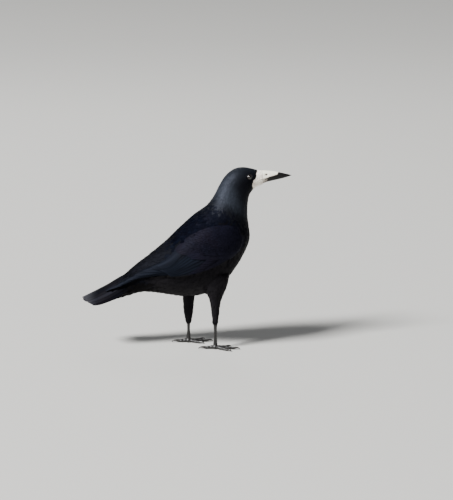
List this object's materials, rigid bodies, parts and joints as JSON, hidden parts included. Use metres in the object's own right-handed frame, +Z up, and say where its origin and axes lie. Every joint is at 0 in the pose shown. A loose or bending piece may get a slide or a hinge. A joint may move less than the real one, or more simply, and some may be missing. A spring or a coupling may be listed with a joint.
{
  "type": "rook bird model",
  "caption": "Life-size standing rook in black plumage with folded wings, closed tail, a pale bare face, a straight pointed bill and scaled legs on open toes.",
  "frame": {"origin": "on the floor, under the middle of the bird's bounding box", "axes": "+X forwards along the bill, +Y to the bird's left, +Z up"},
  "size_m": [0.3688, 0.1088, 0.3211],
  "materials": {
    "plumage": "black body feathers with a blue-violet gloss",
    "flight": "black wing and tail feathers with a smooth blue gloss",
    "face": "bare pale grey-pink skin, dry and finely wrinkled",
    "horn": "horn of the bill and claws, pale at the bill's base and black at the tip",
    "scales": "black scaled skin with a low gloss",
    "eye": "dark brown wet eye"
  },
  "bodies": {
    "root": {"claw_left_1": "horn", "claw_left_2": "horn", "claw_left_3": "horn", "claw_left_4": "horn", "claw_right_1": "horn", "claw_right_2": "horn", "claw_right_3": "horn", "claw_right_4": "horn", "eye_left": "eye", "eye_right": "eye", "face": "face", "foot_left": "scales", "foot_right": "scales", "head": "plumage", "lower_bill": "horn", "neck": "plumage", "rump": "plumage", "shank_left": "scales", "shank_right": "scales", "tail": "flight", "thigh_left": "plumage", "thigh_right": "plumage", "trunk": "plumage", "upper_bill": "horn", "wing_left": "flight", "wing_right": "flight"}
  },
  "joints": []
}
